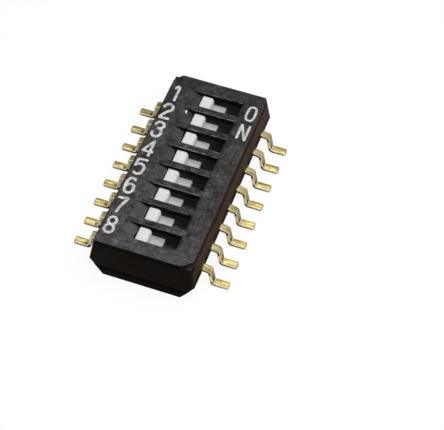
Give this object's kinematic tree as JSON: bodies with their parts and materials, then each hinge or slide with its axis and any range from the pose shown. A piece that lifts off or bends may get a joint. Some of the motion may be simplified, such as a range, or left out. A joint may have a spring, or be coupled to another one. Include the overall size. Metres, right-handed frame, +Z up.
{
  "type": "dip switch",
  "caption": "Low surface-mount DIP switch: a black housing with a row of slots, white sliders that move across the row, and gold gull-wing leads on both sides.",
  "frame": {"origin": "on the board plane, under the middle of the body", "axes": "+X across the row, towards ON; +Y along the row, towards switch 1; +Z up from the board"},
  "size_m": [0.0082, 0.0118, 0.0024],
  "materials": {
    "cover": "moulded black plastic, fine grain",
    "base": "moulded black plastic",
    "slider": "moulded white plastic",
    "spring": "gold plated spring strip",
    "terminal": "gold plated, stamped and bent",
    "print": "white printed ink"
  },
  "bodies": {
    "housing": {"cover": "cover", "base": "base", "terminal_left_1": "terminal", "terminal_left_2": "terminal", "terminal_left_3": "terminal", "terminal_left_4": "terminal", "terminal_left_5": "terminal", "terminal_left_6": "terminal", "terminal_left_7": "terminal", "terminal_left_8": "terminal", "terminal_right_1": "terminal", "terminal_right_2": "terminal", "terminal_right_3": "terminal", "terminal_right_4": "terminal", "terminal_right_5": "terminal", "terminal_right_6": "terminal", "terminal_right_7": "terminal", "terminal_right_8": "terminal"},
    "switch_1": {"slider_1": "slider", "contact_spring_1": "spring"},
    "switch_2": {"slider_2": "slider", "contact_spring_2": "spring"},
    "switch_3": {"slider_3": "slider", "contact_spring_3": "spring"},
    "switch_4": {"slider_4": "slider", "contact_spring_4": "spring"},
    "switch_5": {"slider_5": "slider", "contact_spring_5": "spring"},
    "switch_6": {"slider_6": "slider", "contact_spring_6": "spring"},
    "switch_7": {"slider_7": "slider", "contact_spring_7": "spring"},
    "switch_8": {"slider_8": "slider", "contact_spring_8": "spring"}
  },
  "joints": [
    {"name": "slide_1", "type": "slide", "parent": "housing", "child": "switch_1", "axis": [1, 0, 0], "range_m": [0, 0.00085]},
    {"name": "slide_2", "type": "slide", "parent": "housing", "child": "switch_2", "axis": [1, 0, 0], "range_m": [0, 0.00085]},
    {"name": "slide_3", "type": "slide", "parent": "housing", "child": "switch_3", "axis": [1, 0, 0], "range_m": [0, 0.00085]},
    {"name": "slide_4", "type": "slide", "parent": "housing", "child": "switch_4", "axis": [1, 0, 0], "range_m": [0, 0.00085]},
    {"name": "slide_5", "type": "slide", "parent": "housing", "child": "switch_5", "axis": [1, 0, 0], "range_m": [0, 0.00085]},
    {"name": "slide_6", "type": "slide", "parent": "housing", "child": "switch_6", "axis": [1, 0, 0], "range_m": [0, 0.00085]},
    {"name": "slide_7", "type": "slide", "parent": "housing", "child": "switch_7", "axis": [1, 0, 0], "range_m": [0, 0.00085]},
    {"name": "slide_8", "type": "slide", "parent": "housing", "child": "switch_8", "axis": [1, 0, 0], "range_m": [0, 0.00085]}
  ]
}
